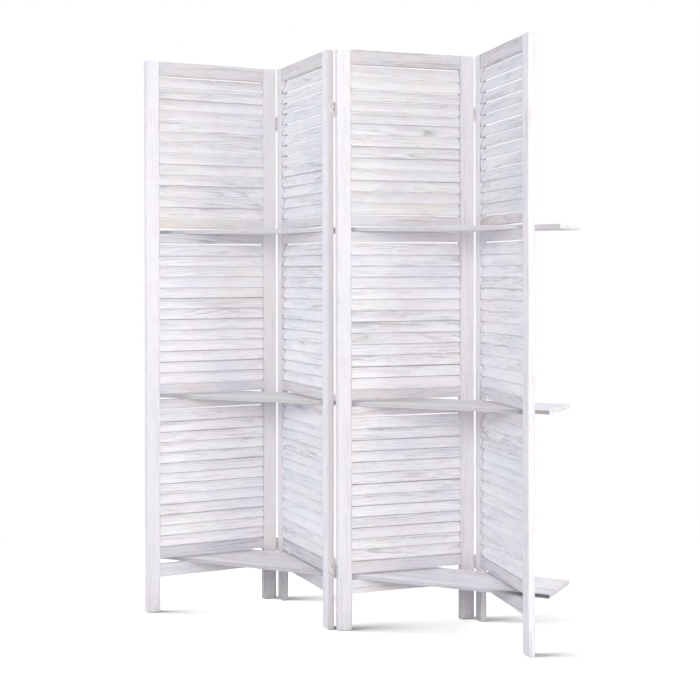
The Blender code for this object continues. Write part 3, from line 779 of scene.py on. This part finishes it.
def spun(outline):
    """Points of an outline of (radius, height), each turned once round Z in a ring of its own."""
    turn = np.linspace(0, 2 * np.pi, TURN_STEPS, endpoint=False)
    radius, height = np.array(outline).T[..., None]
    return np.stack(np.broadcast_arrays(np.cos(turn) * radius, np.sin(turn) * radius, height), axis=-1)


def turned_ring(outline):
    """A closed outline of (radius, height) points turned once round Z: a knuckle with its bore."""
    points = spun(outline).transpose(1, 0, 2)
    index = np.arange(points[..., 0].size).reshape(points.shape[:2])
    down = np.roll(index, -1, axis=0)
    quads = np.stack((index, np.roll(index, -1, 1), np.roll(down, -1, 1), down), -1).reshape(-1, 4)
    return {"points": points.reshape(-1, 3), "faces": quads.tolist()}


def stacked_rings(rings, poles):
    """Rings of equal count, joined in order and closed by a pole at each end."""
    rings = np.array(rings)
    return {"points": np.concatenate((rings.reshape(-1, 3), poles)), "faces": ring_faces(*rings.shape[:2])}


def turned_solid(outline):
    """An outline of (radius, height) points, from the axis up to the axis again, turned round Z."""
    return stacked_rings(spun(outline[1:-1]), ((0, 0, outline[0][1]), (0, 0, outline[-1][1])))


def slot_mouth(long, wide):
    """A thin sheet with half round ends that stands a hair off each side of the plane X = 0, for a slot's
    painted shade.
    """
    turn = np.linspace(-np.pi / 2, np.pi / 2, MOUTH_STEPS)
    bow = np.stack(((long - wide) / 2 + np.cos(turn) * wide / 2, np.sin(turn) * wide / 2), axis=-1)
    outline = np.concatenate((bow, -bow))
    rings = [np.insert(outline, 0, depth, axis=1) for depth in (-MOUTH_RISE, MOUTH_RISE)]
    return stacked_rings(rings, ((-MOUTH_RISE, 0, 0), (MOUTH_RISE, 0, 0)))


def knuckle(sizes, low, high):
    """A rolled knuckle from height low to height high, with its bore and broken edges."""
    bore, outer, broken = sizes.bore_radius, sizes.knuckle_radius, sizes.chamfer
    outline = ((bore, low + broken), (bore, high - broken), (bore + broken, high),
               (outer - broken, high), (outer, high - broken), (outer, low + broken),
               (outer - broken, low), (bore + broken, low))
    return rubbed(turned_ring(outline), 1.0)


def sheet(sizes, outline):
    """A flat piece of the leaf's plate with broken edges, from its outline of (Y, Z) points."""
    outline = np.array(outline)
    low, high = outline.min(axis=0), outline.max(axis=0)
    middle = (low + high) / 2
    shrunk = middle + (outline - middle) * (1 - sizes.chamfer / ((high - low) / 2))
    outer = sizes.knuckle_radius
    inner = outer - sizes.plate_thickness
    layers = ((shrunk, inner), (outline, inner + sizes.chamfer), (outline, outer - sizes.chamfer),
              (shrunk, outer))
    rings = [np.insert(shape, 0, depth, axis=1) for shape, depth in layers]
    return rubbed(stacked_rings(rings, ((inner, *middle), (outer, *middle))), 0.0)


def leaf(sizes, outer_knuckles):
    """A hinge leaf in its own axes: the pin at the origin along Z, the plate along Y, the wood at +X.

    The plate stops short of the other leaf's knuckles, and reaches its own ones by a strip each.
    """
    half, third, gap = sizes.plate_height / 2, sizes.plate_height / 6, sizes.knuckle_gap / 2
    spans = ((gap - third, third - gap),)
    if outer_knuckles:
        spans = ((-half, -third - gap), (third + gap, half))
    near, far, radius = sizes.knuckle_radius + sizes.knuckle_gap, sizes.plate_reach, sizes.plate_corner
    turn = arc_steps(CORNER_STEPS)
    upper = np.stack((far - radius + radius * np.cos(turn), half - radius + radius * np.sin(turn)), -1)
    lower = upper[::-1] * (1, -1)
    pieces = [sheet(sizes, np.concatenate((((near, -half),), lower, upper, ((near, half),))))]
    into_plate = near * STRIP_LAP
    for low, high in spans:
        pieces.append(knuckle(sizes, low, high))
        pieces.append(sheet(sizes, ((0, low), (into_plate, low), (into_plate, high), (0, high))))
    return joined(pieces)


def hinge_pin(sizes):
    """The pin with its two domed heads, in the hinge's own axes."""
    half, rise = sizes.plate_height / 2, sizes.head_height
    turn = arc_steps(DOME_STEPS)
    domed = HEAD_RIM_SHARE + (1 - HEAD_RIM_SHARE) * np.sin(turn)
    dome = np.stack((sizes.head_radius * np.cos(turn), half + rise * domed), -1)
    upper = np.concatenate((((sizes.pin_radius, half), (sizes.head_radius, half)), dome))
    upper[-1, 0] = 0
    return rubbed(turned_solid(np.concatenate((upper[::-1] * (1, -1), upper))), 1.0)


def screw_head(sizes, rings=12, steps=48):
    """A screw head facing -X: a low dome over a polar grid, cut by a cross with sloping walls.

    At radius r and angle a the dome stands at one less the square of r over the head's radius. The
    cross takes its depth off wherever either arm's soft step, along it and over it, is open.
    """
    radius = sizes.screw_radius * np.linspace(0, 1, rings + 1)[1:]
    turn = np.linspace(0, 2 * np.pi, steps, endpoint=False)
    over, along = (radius[:, None] * part for part in (np.cos(turn), np.sin(turn)))
    soft = sizes.cross_width / 4

    def arm(first, second):
        width = np.clip((sizes.cross_width / 2 - np.abs(first)) / soft + 0.5, 0, 1)
        reach = np.clip((sizes.cross_reach - np.abs(second)) / soft + 0.5, 0, 1)
        return width * reach

    cut = np.maximum(arm(over, along), arm(along, over))
    crown = sizes.screw_dome * (1 - (radius[:, None] / sizes.screw_radius) ** 2)
    seat = np.stack((np.full(steps, sizes.plate_thickness / 2), over[-1], along[-1]), -1)
    top = np.stack((sizes.cross_depth * cut - crown, over, along), -1)
    poles = ((sizes.cross_depth - sizes.screw_dome, 0, 0), (sizes.plate_thickness / 2, 0, 0))
    return rubbed(stacked_rings(np.concatenate((top, seat[None])), poles), 1.0)


# Operators


class FOLDING_SCREEN_OT_stage(bpy.types.Operator):
    """Add the floor, the lamps, the surround and the camera"""

    bl_idname = "folding_screen.add_stage"
    bl_label = "Stage"

    def gathered(self, name, pieces):
        collection = bpy.data.collections.new(name)
        for piece in pieces:
            collection.objects.link(piece)
        return collection

    def execute(self, context):
        stage = settings("stage")
        context.scene.view_settings.view_transform = "Standard"
        lit_world(stage.ambient)
        floor = add_floor(stage.floor_size)
        for name, (place, side, tint) in SOFT_LAMPS.items():
            add_lamp(name + "_lamp", "AREA", place, SCREEN_MIDDLE, getattr(stage, name),
                     shape="SQUARE", size=side, color=tint)
        add_lamp("top_lamp", "SUN", TOP_LAMP_PLACE, (0, 0, 0), stage.top, angle=TOP_LAMP_WIDTH)
        floor_lamp = add_lamp("floor_lamp", "SUN", FLOOR_LAMP_PLACE, (0, 0, 0), stage.floor_light,
                              angle=stage.floor_blur)
        stiles = [piece for piece in context.scene.objects if piece.name.endswith("_stile_board")]
        linking = floor_lamp.light_linking
        linking.receiver_collection = self.gathered("lit_by_floor_lamp", [floor])
        linking.blocker_collection = self.gathered("blocks_floor_lamp", stiles)
        add_camera(stage)
        return {"FINISHED"}


class FOLDING_SCREEN_OT_stiles(bpy.types.Operator):
    """Add the eight stiles, upright from the floor to the top"""

    bl_idname = "folding_screen.add_stiles"
    bl_label = "Stiles"

    def execute(self, context):
        sizes = settings("wood")
        wood = wood_material("stile")
        for panel in map(PanelFrame, PANELS):
            across, back, up = panel.axes
            size = (panel.height, panel.stile_width, panel.thickness)
            half = panel.stile_width / 2
            for side, node, middle in (("left", "louvre_stile", half),
                                       ("right", "right_stile", panel.width - half)):
                stile = f"{panel.body}_{side}_stile"
                name = stile + "_board"
                rng = draws(name)
                surface = board_surface("stile", size, sizes.edge_radius, rng, sizes.bow)
                along, over = surface["own"][:, :2].T
                # The left stiles get darker along their inner edges
                if side == "left":
                    surface["edge"] *= np.where(over > 0, sizes.inner_edge_darkening, 1)
                scuffed = np.clip(1 - along / sizes.scuff_height, 0, 1)
                surface["edge"] = np.maximum(surface["edge"], scuffed)
                surface["side"] *= BARE_SIDES.get(stile, 0)
                foot = panel.to_world((middle, 0, 0))
                # The table's low lightness on the valley stiles is painted shade
                surface = grown(carried(surface, foot, up, across, back), rng, TINTED_AND_PAINTED_LIGHT.get(stile))
                # Painted shade: the stile's foot gets darker where the bottom board shades it
                painted_shade = (FOOT_PAINTED_SHADE.get(stile, 1), 1)
                surface["tint"][:, 1] *= np.interp(along, FOOT_PAINTED_SHADE_HEIGHTS, painted_shade)
                add_piece(name, surface, wood, panel.body, (f"{panel.body}_{node}",))
        return {"FINISHED"}


class FOLDING_SCREEN_OT_rails(bpy.types.Operator):
    """Add the rails between the stiles, seven to a panel"""

    bl_idname = "folding_screen.add_rails"
    bl_label = "Rails"

    def execute(self, context):
        sizes = settings("wood")
        wood = wood_material("rail")
        for panel in map(PanelFrame, PANELS):
            across, back, up = panel.axes
            start = panel.stile_width - sizes.rail_bite
            for rail in RAILS:
                node = f"{panel.body}_{rail}"
                name = node + "_board"
                rng = draws(name)
                low, high = panel.span(node)
                size = (panel.width - 2 * start, high[2] - low[2], high[1] - low[1])
                surface = board_surface("rail", size, sizes.edge_radius, rng, sizes.bow)
                end = panel.to_world((start, *(low[1:] + high[1:]) / 2))
                # The table's high lightness on the lower rails is painted light against the shade under the
                # boards
                surface = grown(carried(surface, end, across, -up, back), rng, TINTED_AND_PAINTED_LIGHT.get(node))
                add_piece(name, surface, wood, panel.body, (node,))
        return {"FINISHED"}


class FOLDING_SCREEN_OT_louvres(bpy.types.Operator):
    """Add the louvre slats, one bank to each section of a panel, and sheets of painted shade at the mouths
    of their slots
    """

    bl_idname = "folding_screen.add_louvres"
    bl_label = "Louvres"

    def slat(self, panel, sizes, height, bare_and_strip_shade, cut, rng, warmth):
        """One slat with its middle at this height, its lower edge to the front and a stray lean.

        The cut comes off its upper edge. The sheets of painted shade at the mouths of its two slots come
        with it.
        """
        across, back, up = panel.axes
        lean = sizes.slat_lean + sizes.lean_spread * rng.uniform(-1, 1)
        along_slope = math.sin(lean) * back + math.cos(lean) * up
        outward = math.sin(lean) * up - math.cos(lean) * back
        start = panel.stile_width - sizes.housing
        size = (panel.width - 2 * start, sizes.slat_width - cut, sizes.slat_thickness)
        surface = board_surface("slat", size, sizes.slat_radius, rng, sizes.bow, SLAT_END_STEPS)
        # The strip along the top edge is painted shade of the joint under the slat above
        strip = np.interp(height, SHADE_STRIP_HEIGHTS, (sizes.shade_strip_low, sizes.shade_strip_high))
        strip *= rng.uniform(*SHADE_STRIP_STRAY) * bare_and_strip_shade
        _, over, through = surface["own"].T
        within = (over - size[1] / 2 + strip) * MILLIMETRES
        surface["side"] = np.where(through > 0, within, UNDERSIDE)
        seat = height + sizes.seat_spread * rng.uniform(-1, 1)
        end = panel.to_world((start, 0, seat)) - along_slope * cut / 2
        mouth = slot_mouth(sizes.slat_width + 2 * sizes.slot_spare,
                           sizes.slat_thickness + 2 * sizes.slot_play)
        slots = [carried(mouth, panel.to_world((place, 0, seat)), across, along_slope, outward)
                 for place in (panel.stile_width, panel.width - panel.stile_width)]
        return grown(carried(surface, end, across, along_slope, outward), rng, None, warmth), slots

    def execute(self, context):
        sizes = settings("wood")
        wood = wood_material("louvre")
        slot_shade_material = slot_wood()
        lean = sizes.slat_lean
        rise = sizes.slat_width * math.cos(lean) + sizes.slat_thickness * math.sin(lean)
        for panel in map(PanelFrame, PANELS):
            node = f"{panel.body}_louvre_stile"
            mouths = []
            for place, (under, over) in SECTIONS.items():
                name = f"{panel.body}_{place}_slats"
                rng = draws(name)
                floor = panel.span(f"{panel.body}_{under}")[1][2]
                ceiling = panel.span(f"{panel.body}_{over}")[0][2]
                heights = np.linspace(floor + sizes.slat_bottom_gap + rise / 2,
                                      ceiling - sizes.slat_top_gap - rise / 2, sizes.slats)
                # Even panels' slats take the cooler draw, painted light for the cool fill
                warmth = WARM_BANKS.get(name, WARM_SLATS if panel.number % 2 else PAINTED_COOL_LIGHT_SLATS)
                # How much of each slat's strip of painted joint shade shows
                bare_and_strip_shade = [1.0] * (sizes.slats - 1) + [0.0]
                cuts = [0.0] * sizes.slats
                painted_shade = 1.0
                if place == "upper":
                    bare_and_strip_shade = [UPPER_SHADE_STRIPS[panel.number].get(slat, 0.0) for slat in range(sizes.slats)]
                    cuts = [0.0 if strip else sizes.upper_cut for strip in bare_and_strip_shade[:-1]] + [0.0]
                    painted_shade = UPPER_PAINTED_SHADE[panel.number]
                slats = [self.slat(panel, sizes, height, strip, cut, rng, warmth)
                         for height, strip, cut in zip(heights, bare_and_strip_shade, cuts)]
                bank = joined([slat for slat, _ in slats])
                # The upper slats are darkened with painted shade
                bank["tint"][:, 1] *= painted_shade
                mouths += [mouth for _, pair in slats for mouth in pair]
                add_piece(name, bank, wood, panel.body, (node,))
            # Each panel's sheets of painted shade at its slots' mouths
            add_piece(f"{panel.body}_slots", joined(mouths), slot_shade_material, panel.body, (node,))
        return {"FINISHED"}


class FOLDING_SCREEN_OT_shelves(bpy.types.Operator):
    """Add the three shelf boards"""

    bl_idname = "folding_screen.add_shelves"
    bl_label = "Shelf Boards"

    def execute(self, context):
        sizes = settings("wood")
        wood = wood_material("shelf")
        for node, ends in SHELF_SIDES.items():
            name = node + "_board"
            rng = draws(name)
            low, high = np.array(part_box(node))
            surface = board_surface("shelf", high - low, sizes.edge_radius, rng)
            along, over = surface["own"][:, :2].T
            run = along / (high[0] - low[0])
            surface["side"] *= np.interp(run, SIDE_RUN, [getattr(sizes, end) for end in ends])
            if node == "top_shelf":
                # Painted shade where panels 1 and 3 shade the board's front side inside their slots
                shade_in_slots = np.interp(along + low[0], TOP_BOARD_SHADE_PLACES, TOP_BOARD_PAINTED_SHADE)
                surface["side"] *= np.where(over < 0, shade_in_slots, 1)
            start = (low[0], *(low[1:] + high[1:]) / 2)
            surface = grown(carried(surface, start, *np.eye(3)), rng)
            # Painted light over the valley of panels 3 and 4, and painted shade at the right end and end
            # face
            if node == "bottom_shelf":
                surface["tint"][:, 1] *= np.interp(run, BOTTOM_BOARD_LIGHT_RUN, BOTTOM_BOARD_PAINTED_LIGHT)
            add_piece(name, surface, wood, node, (node,))
        return {"FINISHED"}


class FOLDING_SCREEN_OT_hinges(bpy.types.Operator):
    """Add the leaves, pins and screws of the six butt hinges"""

    bl_idname = "folding_screen.add_hinges"
    bl_label = "Hinges"

    def add_leaf(self, node, sizes, steel, origin, axes):
        """The leaf, and its two screws with their crosses turned at random."""
        body = frame["nodes"][node]["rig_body"]
        plate = leaf(sizes, outer_knuckles=node.endswith("right_leaf"))
        add_piece(node + "_plate", carried(plate, origin, *axes), steel, body, (node,))
        rng = draws(node)
        screws = []
        for height in (-sizes.plate_height / 4, sizes.plate_height / 4):
            turn = rng.uniform(0, math.pi / 2)
            cosine, sine = math.cos(turn), math.sin(turn)
            place = (sizes.knuckle_radius - sizes.plate_thickness,
                     (sizes.knuckle_radius + sizes.plate_reach) / 2, height)
            turned = ((1, 0, 0), (0, cosine, sine), (0, -sine, cosine))
            screws.append(carried(screw_head(sizes), place, *turned))
        add_piece(node + "_screws", carried(joined(screws), origin, *axes), steel, body, (node,))

    def execute(self, context):
        sizes = settings("hinges")
        washed, bare_and_strip_shade = map(steel_material, STEELS)
        for fold, (left, right, side) in FOLDS.items():
            for level in LEVELS:
                hinge = f"{fold}_{level}_hinge"
                steel = bare_and_strip_shade if hinge == sizes.rubbed_hinge else washed
                pin = hinge + "_pin"
                origin = np.mean(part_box(pin), axis=0)
                for hand, number, outward in (("left", left, -1), ("right", right, 1)):
                    across, back, up = PanelFrame(number).axes
                    self.add_leaf(f"{hinge}_{hand}_leaf", sizes, steel, origin,
                                  (outward * across, -side * back, up))
                body = frame["nodes"][pin]["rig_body"]
                rod = carried(hinge_pin(sizes), origin, *np.eye(3))
                add_piece(pin + "_rod", rod, steel, body, (pin,))
        return {"FINISHED"}


class FOLDING_SCREEN_PT_panel(bpy.types.Panel):
    """Lists the screen's settings and the operators that build it"""

    bl_idname = "FOLDING_SCREEN_PT_panel"
    bl_label = "Folding Screen"
    bl_space_type = "VIEW_3D"
    bl_region_type = "UI"
    bl_category = "Folding Screen"

    def draw(self, context):
        for operator in OPERATORS:
            self.layout.operator(operator.bl_idname)
        for group in GROUPS:
            self.layout.label(text=group.capitalize())
            values = settings(group)
            for key in values.bl_rna.properties.keys():
                if key not in ("rna_type", "name"):
                    self.layout.prop(values, key)


GROUPS = {"wood": FoldingScreenWood, "hinges": FoldingScreenHinges, "colours": FoldingScreenColours,
          "stage": FoldingScreenStage}
OPERATORS = (FOLDING_SCREEN_OT_stiles, FOLDING_SCREEN_OT_rails, FOLDING_SCREEN_OT_louvres,
             FOLDING_SCREEN_OT_shelves, FOLDING_SCREEN_OT_hinges, FOLDING_SCREEN_OT_stage)
CLASSES = (*GROUPS.values(), *OPERATORS, FOLDING_SCREEN_PT_panel)


def register():
    for registered in CLASSES:
        bpy.utils.register_class(registered)
    for name, group in GROUPS.items():
        setattr(bpy.types.Scene, "folding_screen_" + name, PointerProperty(type=group))


def unregister():
    for name in GROUPS:
        delattr(bpy.types.Scene, "folding_screen_" + name)
    for registered in reversed(CLASSES):
        bpy.utils.unregister_class(registered)


def main():
    register()
    for operator in OPERATORS:
        category, name = operator.bl_idname.split(".")
        getattr(getattr(bpy.ops, category), name)()


if __name__ == "__main__":
    main()
